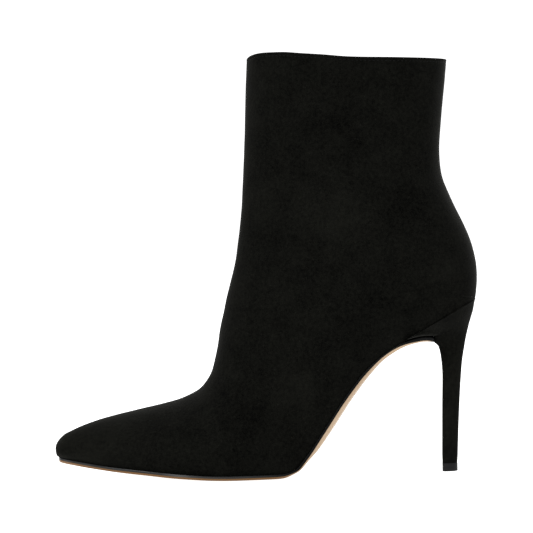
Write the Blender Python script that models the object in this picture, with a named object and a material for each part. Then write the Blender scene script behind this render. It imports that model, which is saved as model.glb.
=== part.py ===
"""Stiletto ankle bootie for the left foot: upper, insole, outsole, covered heel and top piece.

The toe points along -X, the outer side of the foot faces -Y and the floor is Z = 0. The origin lies on
the floor, in the middle of the boot's length and width. Lengths are in metres.
"""

import math

import bmesh
import bpy
import numpy as np
from mathutils import Vector

# Driving sizes of the boot
SHOE_LENGTH = 0.249  # nose of the toe to the back of the heel counter
BALL_WIDTH = 0.080  # outside of the upper, across the ball of the foot
SHAFT_WIDTH = 0.070  # outside of the upper, across the ankle and the collar
HEEL_HEIGHT = 0.1008  # floor to the back of the heel seat
SHAFT_HEIGHT = 0.139  # back of the heel seat to the back of the collar
INSTEP_HEIGHT = 0.060  # height that the vamp and instep sections are shares of
TOE_SPRING = 0.0085  # lift of the toe's feather edge above the ball's
COLLAR_CREST = 0.0038  # rise of the top line above a straight line, in front of its middle

# Thicknesses and clearances
UPPER_WALL = 0.0018  # suede, stiffener and lining together
INSOLE_THICKNESS = 0.0026
SOLE_THICKNESS = 0.0034  # outsole at the ball, which is what stands on the floor
GAP = 0.0003  # between pieces that touch in the real boot
INSOLE_EASE = 0.0005  # set-in of the insole's top edge from its bottom edge

# Outsole: how its side is divided, and where its tail leaves the seat to run under the heel's wings
SOLE_OVERHANG = 0.0007  # ledge of the sole outside the upper, round the forepart
TAIL_START = 0.793  # share of SHOE_LENGTH from the nose
TAIL_END = 0.8965
TAIL_DROP = 0.0085  # distance from the seat down to the sole's tail, at its end
TAIL_END_WIDTH = 0.0125  # to each side of the middle
TAIL_CURVE = 2.4  # power of the tail's bend, and of its narrowing

# Heel and its top piece
HEEL_LEDGE = 0.0003  # how far the heel's cover stands proud of the upper at the seat
TIP_LENGTH = 0.0087
TIP_WIDTH = 0.0092
TIP_HEIGHT = 0.0048
TIP_LEDGE = 0.0001  # top piece outside the heel that it is nailed to

# Points round one side of a section of the upper
LOW_STEPS = 8
TOP_STEPS = 10

# The keel is the line under the upper: the toe's underside, the feather edge's middle, the counter's
# back. Along is a share of SHOE_LENGTH from the nose. Spring, heel and shaft are shares of TOE_SPRING,
# HEEL_HEIGHT and SHAFT_HEIGHT above the forepart. Outer and inner are the feather edge's distances
# from the middle line, as shares of BALL_WIDTH, and zero where the section closes. Parts is the
# number of strips between a row and the next.
KEEL_COLUMNS = ("along", "spring", "heel", "shaft", "outer", "inner", "parts")
KEEL = (
    (0.0000, 1.62, 0.000, 0.000, 0.000, 0.000, 1),
    (0.0011, 1.36, 0.000, 0.000, 0.000, 0.000, 1),
    (0.0038, 1.17, 0.000, 0.000, 0.000, 0.000, 1),
    (0.0090, 1.12, 0.000, 0.000, 0.000, 0.000, 1),
    (0.0135, 1.10, 0.000, 0.000, 0.044, 0.045, 1),
    (0.0230, 1.06, 0.000, 0.000, 0.070, 0.072, 1),
    (0.0440, 0.99, 0.000, 0.000, 0.123, 0.129, 1),
    (0.0830, 0.84, 0.000, 0.000, 0.199, 0.210, 2),
    (0.1450, 0.61, 0.000, 0.000, 0.290, 0.308, 2),
    (0.2200, 0.40, 0.000, 0.000, 0.370, 0.390, 2),
    (0.3000, 0.17, 0.000, 0.000, 0.434, 0.441, 2),
    (0.3850, 0.02, 0.000, 0.000, 0.467, 0.447, 2),
    (0.4300, 0.00, 0.000, 0.000, 0.470, 0.430, 2),
    (0.5310, 0.00, 0.000, 0.000, 0.418, 0.353, 2),
    (0.5650, 0.00, 0.021, 0.000, 0.388, 0.318, 2),
    (0.5950, 0.00, 0.103, 0.000, 0.357, 0.286, 2),
    (0.6420, 0.00, 0.275, 0.000, 0.315, 0.250, 2),
    (0.6910, 0.00, 0.458, 0.000, 0.287, 0.232, 2),
    (0.7410, 0.00, 0.612, 0.000, 0.277, 0.236, 2),
    (0.7980, 0.00, 0.723, 0.000, 0.288, 0.262, 2),
    (0.8600, 0.00, 0.814, 0.000, 0.309, 0.300, 2),
    (0.9170, 0.00, 0.896, 0.000, 0.314, 0.312, 2),
    (0.9570, 0.00, 0.953, 0.000, 0.262, 0.262, 2),
    (0.9850, 0.00, 0.988, 0.000, 0.154, 0.154, 1),
    (0.9915, 0.00, 0.996, 0.000, 0.106, 0.106, 1),
    (0.9948, 0.00, 1.000, 0.000, 0.000, 0.000, 1),
    (0.9990, 0.00, 1.000, 0.054, 0.000, 0.000, 1),
    (1.0000, 0.00, 1.000, 0.119, 0.000, 0.000, 2),
    (0.9920, 0.00, 1.000, 0.208, 0.000, 0.000, 2),
    (0.9710, 0.00, 1.000, 0.313, 0.000, 0.000, 2),
    (0.9425, 0.00, 1.000, 0.425, 0.000, 0.000, 2),
    (0.9225, 0.00, 1.000, 0.532, 0.000, 0.000, 1),
    (0.9195, 0.00, 1.000, 0.633, 0.000, 0.000, 1),
    (0.9255, 0.00, 1.000, 0.755, 0.000, 0.000, 1),
    (0.9340, 0.00, 1.000, 0.881, 0.000, 0.000, 1),
    (0.9420, 0.00, 1.000, 1.000, 0.000, 0.000, 1),
)
TOE_ROW = 3  # the feather edge starts here
BALL_ROW = 12  # widest row of the sole, and the middle of its flat tread
SEAT_ROW = 25  # the feather edge ends here, at the back of the seat

# The ridge is the upper's top line, over the vamp, up the instep and up the front of the shaft. Along
# is as in KEEL. Instep, heel and shaft are shares of INSTEP_HEIGHT, HEEL_HEIGHT and SHAFT_HEIGHT, added
# to the keel's spring. Outer and inner are the section's half widths, as shares of BALL_WIDTH, or of
# SHAFT_WIDTH as heel goes to 1. Widest is how far up the section they lie. Low and top are the powers
# of its lower and upper curves: 2 is an ellipse, and more is squarer.
RIDGE_COLUMNS = ("along", "instep", "heel", "shaft", "outer", "inner", "widest", "low", "top")
RIDGE = (
    (0.0000, 0.000, 0.00, 0.000, 0.000, 0.000, 0.50, 2.00, 2.00),
    (0.0018, 0.088, 0.00, 0.000, 0.050, 0.051, 0.47, 2.00, 2.00),
    (0.0090, 0.162, 0.00, 0.000, 0.089, 0.091, 0.43, 2.00, 2.00),
    (0.0210, 0.217, 0.00, 0.000, 0.118, 0.122, 0.38, 2.00, 2.00),
    (0.0290, 0.238, 0.00, 0.000, 0.131, 0.135, 0.36, 2.00, 2.00),
    (0.0395, 0.264, 0.00, 0.000, 0.145, 0.150, 0.34, 2.00, 2.00),
    (0.0660, 0.321, 0.00, 0.000, 0.180, 0.187, 0.30, 2.00, 2.00),
    (0.1059, 0.396, 0.00, 0.000, 0.243, 0.253, 0.27, 2.00, 2.00),
    (0.1603, 0.485, 0.00, 0.000, 0.325, 0.340, 0.25, 2.00, 2.00),
    (0.2193, 0.566, 0.00, 0.000, 0.404, 0.420, 0.24, 2.00, 1.95),
    (0.2721, 0.648, 0.00, 0.000, 0.464, 0.470, 0.24, 2.00, 1.90),
    (0.3141, 0.709, 0.01, 0.000, 0.497, 0.487, 0.25, 2.00, 1.85),
    (0.3458, 0.752, 0.03, 0.000, 0.506, 0.484, 0.28, 2.00, 1.85),
    (0.3690, 0.804, 0.07, 0.003, 0.490, 0.458, 0.32, 2.00, 1.85),
    (0.3816, 0.815, 0.14, 0.010, 0.468, 0.436, 0.36, 2.00, 1.90),
    (0.3901, 0.771, 0.24, 0.025, 0.450, 0.424, 0.40, 2.00, 1.95),
    (0.3964, 0.677, 0.36, 0.050, 0.438, 0.418, 0.42, 2.00, 2.00),
    (0.4044, 0.526, 0.50, 0.085, 0.434, 0.420, 0.43, 2.00, 2.00),
    (0.4137, 0.363, 0.63, 0.130, 0.440, 0.430, 0.43, 2.00, 2.05),
    (0.4236, 0.201, 0.75, 0.180, 0.450, 0.442, 0.43, 2.05, 2.10),
    (0.4337, 0.070, 0.86, 0.225, 0.462, 0.456, 0.43, 2.18, 2.10),
    (0.4410, 0.000, 0.94, 0.267, 0.472, 0.468, 0.43, 2.32, 2.10),
    (0.4469, 0.000, 0.98, 0.306, 0.480, 0.478, 0.44, 2.47, 2.10),
    (0.4514, 0.000, 1.00, 0.353, 0.486, 0.485, 0.45, 2.62, 2.10),
    (0.4530, 0.000, 1.00, 0.381, 0.488, 0.488, 0.46, 2.60, 2.10),
    (0.4546, 0.000, 1.00, 0.410, 0.490, 0.490, 0.46, 2.54, 2.10),
    (0.4568, 0.000, 1.00, 0.458, 0.492, 0.492, 0.46, 2.50, 2.10),
    (0.4586, 0.000, 1.00, 0.502, 0.492, 0.492, 0.47, 2.44, 2.10),
    (0.4604, 0.000, 1.00, 0.549, 0.490, 0.490, 0.47, 2.38, 2.10),
    (0.4622, 0.000, 1.00, 0.601, 0.488, 0.488, 0.48, 2.31, 2.10),
    (0.4640, 0.000, 1.00, 0.656, 0.486, 0.486, 0.49, 2.25, 2.10),
    (0.4659, 0.000, 1.00, 0.716, 0.486, 0.486, 0.50, 2.20, 2.10),
    (0.4679, 0.000, 1.00, 0.785, 0.490, 0.490, 0.50, 2.20, 2.10),
    (0.4703, 0.000, 1.00, 0.863, 0.496, 0.496, 0.50, 2.20, 2.10),
    (0.4727, 0.000, 1.00, 0.943, 0.504, 0.504, 0.50, 2.20, 2.10),
    (0.4745, 0.000, 1.00, 1.018, 0.512, 0.512, 0.50, 2.20, 2.10),
)

# Height of the top line above a straight line from its back (0) to its front (1), as a share of
# COLLAR_CREST. The rows below the collar follow it from CREST_ROW on.
CREST = ((0.0, 0.0), (0.15, 0.02), (0.30, 0.06), (0.45, 0.10), (0.60, 0.46), (0.72, 0.74))
CREST += ((0.82, 0.98), (0.90, 0.98), (0.96, 0.78), (0.985, 0.50), (1.0, 0.20))
CREST_ROW = 31

# Outsole along the keel. Edge is the upright, blackened side, bevel the slanting band under it and
# crown the rise of the rounded bottom between the bevels, as shares of SOLE_THICKNESS. Run is the
# bevel's width as a share of its height. Flat is the share of the half width that stays level.
# Tuck takes the sole's ledge in, from 0 at the forepart to 1 where the sole is flush.
SOLE_COLUMNS = ("along", "edge", "bevel", "crown", "run", "flat", "tuck")
SOLE = (
    (0.000, 0.44, 0.20, 0.12, 0.9, 0.55, 0.0),
    (0.035, 0.52, 0.24, 0.18, 0.9, 0.55, 0.0),
    (0.090, 0.56, 0.26, 0.18, 0.9, 0.55, 0.0),
    (0.518, 0.56, 0.26, 0.18, 0.9, 0.55, 0.2),
    (0.538, 0.52, 0.25, 0.20, 1.0, 0.45, 0.5),
    (0.562, 0.36, 0.18, 0.16, 1.2, 0.30, 0.8),
    (0.585, 0.29, 0.24, 0.22, 1.5, 0.15, 1.0),
    (0.612, 0.27, 0.50, 0.32, 1.4, 0.05, 1.2),
    (0.650, 0.27, 0.58, 0.36, 1.4, 0.05, 1.2),
    (0.740, 0.28, 0.52, 0.36, 1.4, 0.05, 1.2),
    (0.765, 0.30, 0.40, 0.30, 1.4, 0.05, 1.2),
    (0.800, 0.44, 0.34, 0.24, 1.3, 0.05, 1.1),
    (0.860, 0.78, 0.10, 0.14, 1.2, 0.05, 1.0),
    (1.000, 0.78, 0.08, 0.10, 1.2, 0.05, 1.0),
)
SOLE_ACROSS = (1.0, 0.78, 0.55, 0.28)  # bottom points between the bevel and the middle line

# Heel below the seat. Front and back are its ends along the boot as shares of SHOE_LENGTH, and
# front_up and back_up their heights as shares of HEEL_HEIGHT. Depth, where it isn't zero, replaces
# front by back less that share of TIP_LENGTH. Seat and tip are the shares of the seat's half width
# and of half TIP_WIDTH that make up the half width. Stem goes from the seat's outline at 0 to the
# stem's own outline at 1.
HEEL_COLUMNS = ("front", "front_up", "back", "back_up", "depth", "seat", "tip", "stem")
HEEL = (
    (0.842, None, 0.9930, 0.976, 0.00, 0.960, 0.00, 0.06),
    (0.862, None, 0.9910, 0.948, 0.00, 0.845, 0.10, 0.16),
    (0.882, None, 0.9870, 0.910, 0.00, 0.670, 0.28, 0.30),
    (0.8985, None, 0.9812, 0.866, 0.00, 0.480, 0.50, 0.48),
    (0.8985, 0.749, 0.9755, 0.815, 0.00, 0.300, 0.74, 0.68),
    (0.0000, 0.727, 0.9703, 0.762, 1.82, 0.180, 0.88, 0.84),
    (0.0000, 0.688, 0.9660, 0.706, 1.56, 0.100, 0.97, 0.94),
    (0.0000, 0.638, 0.9616, 0.646, 1.37, 0.050, 1.02, 1.00),
    (0.0000, 0.566, 0.9580, 0.566, 1.22, 0.015, 1.08, 1.00),
    (0.0000, 0.440, 0.9537, 0.440, 1.14, 0.000, 1.06, 1.00),
    (0.0000, 0.300, 0.9500, 0.300, 1.08, 0.000, 1.02, 1.00),
    (0.0000, 0.170, 0.9470, 0.170, 1.03, 0.000, 1.00, 1.00),
    (0.0000, None, 0.9447, None, 1.00, 0.000, 1.00, 1.00),
)
HEEL_START = 0.825  # front of the heel's wings, as a share of SHOE_LENGTH
# One side of the stem's outline, from its flat breast to its round back: share of its depth, share
# of its half width.
STEM = ((0.0, 0.55), (0.03, 0.78), (0.11, 0.94), (0.24, 1.0), (0.40, 1.0), (0.56, 0.95))
STEM += ((0.70, 0.85), (0.82, 0.70), (0.91, 0.50), (0.975, 0.27), (1.0, 0.0))

MATERIALS = {
    "black_suede": ((0.012, 0.012, 0.011), 0.95),
    "tan_leather": ((0.50, 0.33, 0.20), 0.55),
    "lining_leather": ((0.42, 0.31, 0.22), 0.60),
    "black_rubber": ((0.015, 0.015, 0.015), 0.50),
}


def slopes(knots, values):
    """Slopes of a curve through the rows that never swings past them."""
    step = np.diff(knots)[:, None]
    secant = np.diff(values, axis=0) / step
    inner = np.zeros_like(values[1:-1])
    same = secant[:-1] * secant[1:] > 0
    w1 = 2 * step[1:] + step[:-1]
    w2 = step[1:] + 2 * step[:-1]
    with np.errstate(divide="ignore", invalid="ignore"):
        mean = (w1 + w2) / (w1 / secant[:-1] + w2 / secant[1:])
    inner[same] = mean[same]
    return np.vstack([secant[:1], inner, secant[-1:]])


def curve(knots, values, where):
    """Values of the smooth curve through (knots, values) at each place in where."""
    knots = np.asarray(knots, float)
    values = np.asarray(values, float).reshape(len(knots), -1)
    where = np.atleast_1d(np.asarray(where, float))
    rate = slopes(knots, values)
    k = np.clip(np.searchsorted(knots, where, side="right") - 1, 0, len(knots) - 2)
    step = (knots[k + 1] - knots[k])[:, None]
    u = (where[:, None] - knots[k][:, None]) / step
    a = (1 + 2 * u) * (1 - u) ** 2
    b = u * (1 - u) ** 2
    c = u * u * (3 - 2 * u)
    d = u * u * (u - 1)
    return a * values[k] + b * step * rate[k] + c * values[k + 1] + d * step * rate[k + 1]


def read(table, columns, where, knots=None):
    """The table's columns at each place, by name. A place is a row number unless knots are given."""
    knots = np.arange(len(table)) if knots is None else knots
    found = curve(knots, table, where)
    return {name: found[:, n] for n, name in enumerate(columns)}


def places(first, last):
    """Row numbers from first to last, with each row divided into its parts."""
    out = []
    for row in range(first, last):
        parts = round(KEEL[row][KEEL_COLUMNS.index("parts")])
        out += [row + n / parts for n in range(parts)]
    return np.array(out + [last], float)


def middle_shift():
    """Sideways shift that puts the origin halfway between the boot's widest points."""
    outer = max(row[RIDGE_COLUMNS.index("outer")] for row in RIDGE[: BALL_ROW + 2])
    inner = max(row[RIDGE_COLUMNS.index("inner")] for row in RIDGE[: BALL_ROW + 2])
    return (outer - inner) / 2 * BALL_WIDTH


def keel_point(k):
    """X and Z of the keel for columns read from KEEL."""
    base = SOLE_THICKNESS + GAP
    z = base * (1 - k["heel"]) + TOE_SPRING * k["spring"] + HEEL_HEIGHT * k["heel"]
    z = z + SHAFT_HEIGHT * k["shaft"]
    return (k["along"] - 0.5) * SHOE_LENGTH, z


def keel_line(where):
    """Points, unit tangents and downward normals of the keel in the XZ plane."""
    nudge = 0.02
    last = len(KEEL) - 1
    point = np.stack(keel_point(read(KEEL, KEEL_COLUMNS, where)), -1)
    ahead = np.stack(keel_point(read(KEEL, KEEL_COLUMNS, np.minimum(where + nudge, last))), -1)
    behind = np.stack(keel_point(read(KEEL, KEEL_COLUMNS, np.maximum(where - nudge, 0))), -1)
    tangent = ahead - behind
    tangent = tangent / np.linalg.norm(tangent, axis=1)[:, None]
    down = np.stack([tangent[:, 1], -tangent[:, 0]], -1)
    return point, tangent, down


def feather(where, side, inset):
    """X, Y, Z of the feather edge at each place, moved inwards over the last's bottom by inset.

    Side is -1 for the outer edge and 1 for the inner one.
    """
    nudge = 0.02
    name = "outer" if side < 0 else "inner"
    width = read(KEEL, KEEL_COLUMNS, where)[name] * BALL_WIDTH
    lo = np.maximum(where - nudge, TOE_ROW)
    hi = np.minimum(where + nudge, SEAT_ROW)
    spread = read(KEEL, KEEL_COLUMNS, hi)[name] - read(KEEL, KEEL_COLUMNS, lo)[name]
    spread = spread * BALL_WIDTH
    travel = np.linalg.norm(keel_line(hi)[0] - keel_line(lo)[0], axis=1)
    size = np.hypot(travel, spread)
    point, tangent, _ = keel_line(where)
    closed = width < 1e-9
    along = np.where(closed, np.sign(spread), spread / size) * inset
    across = np.where(closed, 0, width - travel / size * inset)
    across = np.maximum(across, 0)
    moved = point + tangent * along[:, None]
    return np.stack([moved[:, 0], side * across + middle_shift(), moved[:, 1]], -1)


def section(place):
    """Loop of points round one section of the upper, outer feather edge to inner feather edge."""
    k = {n: v[0] for n, v in read(KEEL, KEEL_COLUMNS, place).items()}
    r = {n: v[0] for n, v in read(RIDGE, RIDGE_COLUMNS, place).items()}
    keel = np.array(keel_point(k))
    spring = {"spring": k["spring"], **r}
    ridge = np.array(keel_point(spring)) + np.array([0, r["instep"] * INSTEP_HEIGHT])
    wide = (1 - r["heel"]) * BALL_WIDTH + r["heel"] * SHAFT_WIDTH
    loop = []
    for side, name in ((-1, "outer"), (1, "inner")):
        half = max(r[name] * wide, 1e-9)
        foot = min(k[name] * BALL_WIDTH / half, 0.995)
        reach = r["widest"] / (1 - foot ** r["low"]) ** (1 / r["low"])
        start = math.acos(foot ** (r["low"] / 2))
        turns = np.linspace(start, 0, LOW_STEPS + 1)
        low_up = r["widest"] - reach * np.sin(turns) ** (2 / r["low"])
        low_out = np.cos(turns) ** (2 / r["low"])
        turns = np.linspace(0, math.pi / 2, TOP_STEPS + 1)[1:]
        top_up = r["widest"] + (1 - r["widest"]) * np.sin(turns) ** (2 / r["top"])
        top_out = np.abs(np.cos(turns)) ** (2 / r["top"])
        up = np.concatenate([low_up, top_up])
        up[0] = 0
        out = np.concatenate([low_out, top_out]) * half
        out[0] = k[name] * BALL_WIDTH
        out[-1] = 0
        xz = keel + (ridge - keel) * up[:, None]
        y = side * out + middle_shift()
        loop.append((np.stack([xz[:, 0], y, xz[:, 1]], -1), up))
    points = np.vstack([loop[0][0], loop[1][0][-2::-1]])
    up = np.concatenate([loop[0][1], loop[1][1][-2::-1]])
    follow = max(0.0, (place - CREST_ROW) / (len(KEEL) - 1 - CREST_ROW))
    crest = curve([c[0] for c in CREST], [c[1] for c in CREST], up)[:, 0]
    points[:, 2] += COLLAR_CREST * follow**2 * crest
    return points


def skins(where):
    """Outer and inner skins of the upper as grids of points, a row for each place."""
    outer = np.array([section(p) for p in where])
    along = np.gradient(outer, axis=0)
    round_ = np.gradient(outer, axis=1)
    closed = (where <= TOE_ROW) | (where >= SEAT_ROW)
    wrap = (outer[:, 1] - outer[:, -2]) / 2
    round_[closed, 0] = wrap[closed]
    round_[closed, -1] = wrap[closed]
    normal = np.cross(along, round_)
    size = np.linalg.norm(normal, axis=2)[..., None]
    normal = normal / np.maximum(size, 1e-15)
    normal[0] = (-1, 0, 0)
    normal[closed, 0, 1] = 0
    normal[closed, -1] = normal[closed, 0]
    inner = outer - normal * UPPER_WALL
    sole = (where >= TOE_ROW) & (where <= SEAT_ROW)
    inner[sole, 0] = feather(where[sole], -1, UPPER_WALL)
    inner[sole, -1] = feather(where[sole], 1, UPPER_WALL)
    inner[-1, :, 2] = outer[-1, :, 2]
    return outer, inner


class Shell:
    """Faces gathered by corner points. Corners at one place become one vertex."""

    def __init__(self):
        self.points = []
        self.index = {}
        self.faces = []

    def vertex(self, point):
        key = tuple(round(float(c) * 1e7) for c in point)
        if key not in self.index:
            self.index[key] = len(self.points)
            self.points.append(tuple(float(c) for c in point))
        return self.index[key]

    def face(self, *corners):
        found = []
        for n in map(self.vertex, corners):
            if n not in found:
                found.append(n)
        if len(found) > 2:
            self.faces.append(found)

    def strip(self, one, other):
        """Quads between two lines of points."""
        for n in range(len(one) - 1):
            self.face(one[n], one[n + 1], other[n + 1], other[n])

    def grid(self, rows):
        for n in range(len(rows) - 1):
            self.strip(rows[n], rows[n + 1])

    def build(self, name, material, sharp=40.0):
        mesh = bpy.data.meshes.new(name)
        mesh.from_pydata(self.points, [], self.faces)
        bm = bmesh.new()
        bm.from_mesh(mesh)
        bmesh.ops.recalc_face_normals(bm, faces=bm.faces)
        bm.to_mesh(mesh)
        bm.free()
        mesh.shade_smooth()
        mesh.set_sharp_from_angle(angle=math.radians(sharp))
        thing = bpy.data.objects.new(name, mesh)
        thing.data.materials.append(paint(material))
        bpy.context.scene.collection.objects.link(thing)
        return thing


def paint(name):
    """The named material, made the first time that a piece asks for it."""
    if name in bpy.data.materials:
        return bpy.data.materials[name]
    colour, roughness = MATERIALS[name]
    made = bpy.data.materials.new(name)
    made.use_nodes = True
    made.diffuse_color = (*colour, 1)
    shader = made.node_tree.nodes["Principled BSDF"]
    shader.inputs["Base Color"].default_value = (*colour, 1)
    shader.inputs["Roughness"].default_value = roughness
    return made


def upper():
    """One hollow wall, open at the collar and underneath."""
    where = places(0, len(KEEL) - 1)
    outer, inner = skins(where)
    shell = Shell()
    shell.grid(outer)
    shell.grid(inner)
    shell.strip(outer[-1], inner[-1])
    sole = (where >= TOE_ROW) & (where <= SEAT_ROW)
    for column in (0, -1):
        shell.strip(outer[sole, column], inner[sole, column])
    return shell.build("upper", "black_suede")


def insole():
    """The board inside the upper's feather edge, which carries the foot."""
    where = places(TOE_ROW, SEAT_ROW)
    _, _, down = keel_line(where)
    lift = -down * INSOLE_THICKNESS
    lift = np.stack([lift[:, 0], np.zeros(len(where)), lift[:, 1]], -1)
    lows = [feather(where, side, UPPER_WALL + GAP) for side in (-1, 1)]
    tops = [feather(where, side, UPPER_WALL + GAP + INSOLE_EASE) + lift for side in (-1, 1)]
    shell = Shell()
    shell.strip(*lows)
    shell.strip(*tops)
    for low, top in zip(lows, tops):
        shell.strip(low, top)
    return shell.build("insole", "lining_leather", sharp=30.0)


def tail(x):
    """How much of its bend the sole's tail has reached at x: 0 at its start and 1 at its end."""
    start = (TAIL_START - 0.5) * SHOE_LENGTH
    end = (TAIL_END - 0.5) * SHOE_LENGTH
    return np.maximum(0.0, (np.asarray(x, float) - start) / (end - start)) ** TAIL_CURVE


def place_at(x):
    """Row number at which the feather edge's keel passes x."""
    where = np.linspace(TOE_ROW, SEAT_ROW, 801)
    return np.interp(x, keel_line(where)[0][:, 0], where)


def sole_line(where):
    """Points and downward normals of the outsole's top surface, in the XZ plane."""

    def top(w):
        point, _, down = keel_line(w)
        point = point + down * GAP
        point[:, 1] -= TAIL_DROP * tail(point[:, 0])
        return point

    nudge = 0.02
    tangent = top(where + nudge) - top(where - nudge)
    tangent = tangent / np.linalg.norm(tangent, axis=1)[:, None]
    return top(where), np.stack([tangent[:, 1], -tangent[:, 0]], -1)


def outsole():
    """Leather sole from the toe to the heel's breast, with a bevelled edge and a rounded waist."""
    end = place_at((TAIL_END - 0.5) * SHOE_LENGTH)
    where = places(TOE_ROW, SEAT_ROW)
    where = np.sort(np.append(where, (where[1:] + where[:-1]) / 2))
    where = np.append(where[where < end - 0.2], end)
    point, down = sole_line(where)
    along = point[:, 0] / SHOE_LENGTH + 0.5
    s = read([row[1:] for row in SOLE], SOLE_COLUMNS[1:], along, [row[0] for row in SOLE])
    edge = s["edge"] * SOLE_THICKNESS
    bevel = s["bevel"] * SOLE_THICKNESS
    crown = s["crown"] * SOLE_THICKNESS
    taper = tail(point[:, 0])
    sides = {}
    for side in (-1, 1):
        ledge = -SOLE_OVERHANG * (1 - s["tuck"])
        rim = feather(where, side, ledge)
        low = feather(where, side, ledge + bevel * s["run"])
        step_in = rim[:, 1] - low[:, 1]
        rim[:, 1] += (side * TAIL_END_WIDTH + middle_shift() - rim[:, 1]) * taper
        low[:, 1] = rim[:, 1] - step_in
        sides[side] = (rim, low)

    def drop(line, depth):
        moved = line.copy()
        base, normal, _ = keel_line(where)
        shift = line[:, [0, 2]] - base
        moved[:, [0, 2]] = point + shift + down * depth[:, None]
        return moved

    none = np.zeros(len(where))
    top = {side: drop(sides[side][0], none) for side in sides}
    foot = {side: drop(sides[side][0], edge) for side in sides}
    toe = {side: drop(sides[side][1], edge + bevel) for side in sides}
    rows = []
    shares = [-v for v in SOLE_ACROSS] + [0.0] + [v for v in reversed(SOLE_ACROSS)]
    for share in shares:
        left = sides[-1][1]
        right = sides[1][1]
        line = (left * (1 - share) + right * (1 + share)) / 2
        past = np.maximum(0.0, (abs(share) - s["flat"]) / (1 - s["flat"]))
        rows.append(drop(line, edge + bevel + crown * (1 - past**2)))
    rows[0], rows[-1] = toe[-1], toe[1]
    around = [top[-1], foot[-1], *rows, foot[1], top[1]]
    shell = Shell()
    shell.grid(around)
    shell.strip(top[1], top[-1])
    shell.face(*[line[-1] for line in around])
    return shell.build("outsole", "tan_leather", sharp=30.0)


def seat_lines():
    """Outline of the heel's top, on the seat: a line from the wing's tip to the back for each side."""
    first = place_at((HEEL_START - 0.5) * SHOE_LENGTH)
    where = places(TOE_ROW, SEAT_ROW)
    where = np.append(first, where[where > first + 0.2])
    lines = []
    for side in (-1, 1):
        line = feather(where, side, -HEEL_LEDGE)
        _, _, down = keel_line(where)
        line[:, 0] += down[:, 0] * GAP
        line[:, 2] += down[:, 1] * GAP
        lines.append(line)
    return lines


def heel_rows():
    """Loops of the heel from its seat down to the top piece, as an outer and an inner line each."""
    rows = [seat_lines()]
    seat_half = rows[0][1][:, 1].max() - middle_shift()
    seat = rows[0]
    seat_span = seat[0][-1, 0] - seat[0][0, 0]
    seat_share = (seat[0][:, 0] - seat[0][0, 0]) / seat_span
    steps = np.linspace(0, len(STEM) - 1, len(seat_share))
    stem_share, stem_out = curve(np.arange(len(STEM)), STEM, steps).T
    for row in HEEL:
        h = dict(zip(HEEL_COLUMNS, row))
        back_x = (h["back"] - 0.5) * SHOE_LENGTH
        front_x = back_x - h["depth"] * TIP_LENGTH if h["depth"] else (h["front"] - 0.5) * SHOE_LENGTH
        back_z = TIP_HEIGHT + GAP if h["back_up"] is None else h["back_up"] * HEEL_HEIGHT
        if h["front_up"] is not None:
            front_z = h["front_up"] * HEEL_HEIGHT
        elif h["depth"]:
            front_z = TIP_HEIGHT + GAP
        else:
            top, down = sole_line(np.atleast_1d(place_at(front_x)))
            front_z = float(top[0, 1]) + GAP
        half = h["seat"] * seat_half + h["tip"] * TIP_WIDTH / 2
        lines = []
        for side, outline in ((-1, seat[0]), (1, seat[1])):
            seat_out = np.abs(outline[:, 1] - middle_shift()) / seat_half
            share = seat_share + (stem_share - seat_share) * h["stem"]
            out = seat_out + (stem_out - seat_out) * h["stem"]
            x = front_x + (back_x - front_x) * share
            z = front_z + (back_z - front_z) * share
            lines.append(np.stack([x, side * out * half + middle_shift(), z], -1))
        rows.append(lines)
    return rows


def heel():
    """Covered stiletto heel: a cupped seat, two short wings over the sole's tail and a slim stem."""
    rows = heel_rows()
    shell = Shell()
    for side in (0, 1):
        shell.grid([row[side] for row in rows])
    shell.strip([row[0][0] for row in rows], [row[1][0] for row in rows])
    shell.strip(rows[0][0], rows[0][1])
    shell.strip(rows[-1][0], rows[-1][1])
    return shell.build("heel", "black_suede")


def top_piece():
    """The rubber lift under the heel, which stands on the floor."""
    outer, inner = heel_rows()[-1]
    middle = Vector((outer[0] + outer[-1]) / 2)
    grown = []
    for line in (outer, inner):
        away = line - np.array([middle.x, middle_shift(), 0])
        size = np.hypot(away[:, 0], away[:, 1])[:, None]
        top = line + away / size * TIP_LEDGE * np.array([1, 1, 0])
        top[:, 2] = TIP_HEIGHT
        foot = top.copy()
        foot[:, 2] = 0
        grown.append((top, foot))
    shell = Shell()
    for top, foot in grown:
        shell.strip(top, foot)
    shell.strip(grown[0][0], grown[1][0])
    shell.strip(grown[0][1], grown[1][1])
    shell.face(grown[0][0][0], grown[1][0][0], grown[1][1][0], grown[0][1][0])
    return shell.build("top_piece", "black_rubber")


def main():
    for thing in list(bpy.data.objects):
        bpy.data.objects.remove(thing)
    for piece in (upper, insole, outsole, heel, top_piece):
        piece()


main()
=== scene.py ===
import math

import bmesh
import bpy
import numpy as np
from mathutils import Matrix, Vector, noise
from mathutils.bvhtree import BVHTree


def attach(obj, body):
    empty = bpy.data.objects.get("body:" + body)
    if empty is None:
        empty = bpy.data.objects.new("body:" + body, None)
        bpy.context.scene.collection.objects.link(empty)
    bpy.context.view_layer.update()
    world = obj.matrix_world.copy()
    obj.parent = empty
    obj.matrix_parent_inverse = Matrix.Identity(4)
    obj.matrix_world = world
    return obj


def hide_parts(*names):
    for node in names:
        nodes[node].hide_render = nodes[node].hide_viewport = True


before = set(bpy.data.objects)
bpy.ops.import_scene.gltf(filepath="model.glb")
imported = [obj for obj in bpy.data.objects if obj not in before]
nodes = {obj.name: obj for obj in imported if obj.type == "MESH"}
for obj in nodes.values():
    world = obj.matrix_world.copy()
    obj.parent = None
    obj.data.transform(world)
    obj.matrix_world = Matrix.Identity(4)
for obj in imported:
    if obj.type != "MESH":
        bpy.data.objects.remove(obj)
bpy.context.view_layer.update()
mm = 0.001  # every length below is written as millimetres times this
middle = 0.76 * mm  # the boot's middle line in Y
print("frame loaded:", ", ".join(sorted(nodes)))


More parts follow.
